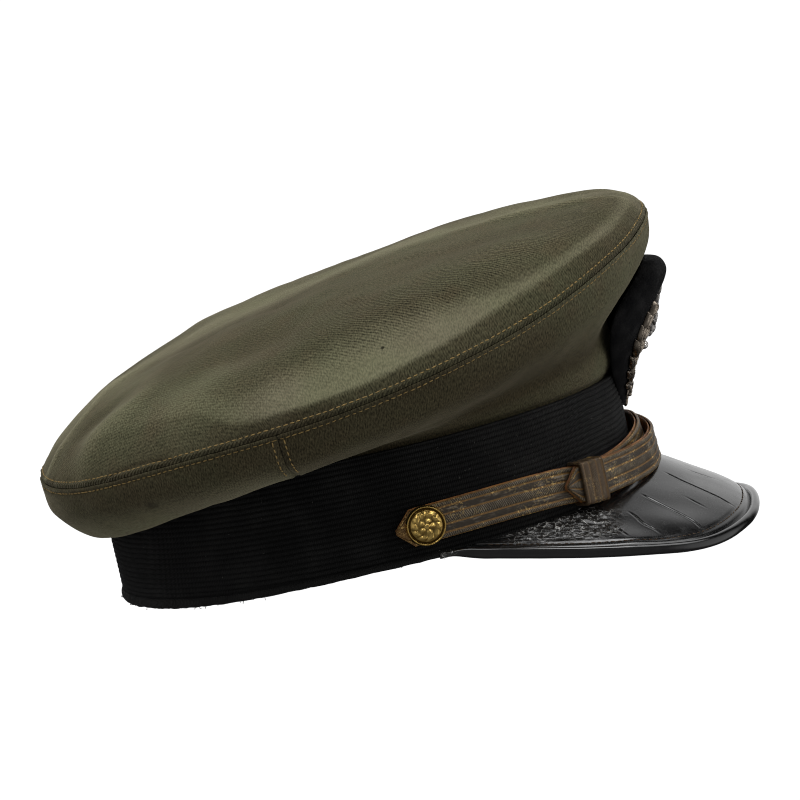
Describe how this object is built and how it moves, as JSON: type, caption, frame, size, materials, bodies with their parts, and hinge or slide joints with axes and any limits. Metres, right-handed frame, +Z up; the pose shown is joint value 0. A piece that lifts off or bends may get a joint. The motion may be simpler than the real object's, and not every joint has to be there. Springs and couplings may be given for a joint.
{
  "type": "peaked cap",
  "caption": "Soft peaked cap with an olive cloth crown, ribbed black band, patent-leather visor, gold-laced chin strap, gilt side buttons and a padded badge.",
  "frame": {"origin": "on the surface the cap rests on, below the middle of its outline", "axes": "+X towards the visor, +Y towards the wearer's left, +Z up from the surface"},
  "size_m": [0.2794, 0.2264, 0.1342],
  "materials": {
    "olive_cloth": "wool twill, slightly fuzzy",
    "ribbed_band": "ribbed mohair",
    "patent_leather": "glossy, worn and cracked",
    "strap_leather": "satin",
    "gold_lace": "woven metal thread",
    "gilt": "polished, struck",
    "silver": "aged satin",
    "mount_cloth": "padded velvet"
  },
  "bodies": {
    "root": {"crown_top": "olive_cloth", "crown_side_front": "olive_cloth", "crown_side_rear": "olive_cloth", "band": "ribbed_band", "band_welt": "ribbed_band", "visor": "patent_leather", "visor_binding": "patent_leather", "strap_right": "strap_leather", "strap_left": "strap_leather", "lace_right": "gold_lace", "lace_left": "gold_lace", "slide_right": "gold_lace", "slide_left": "gold_lace", "button_right": "gilt", "button_left": "gilt", "badge_mount": "mount_cloth", "badge_spray": "gilt", "badge_rosette": "silver"}
  },
  "joints": []
}
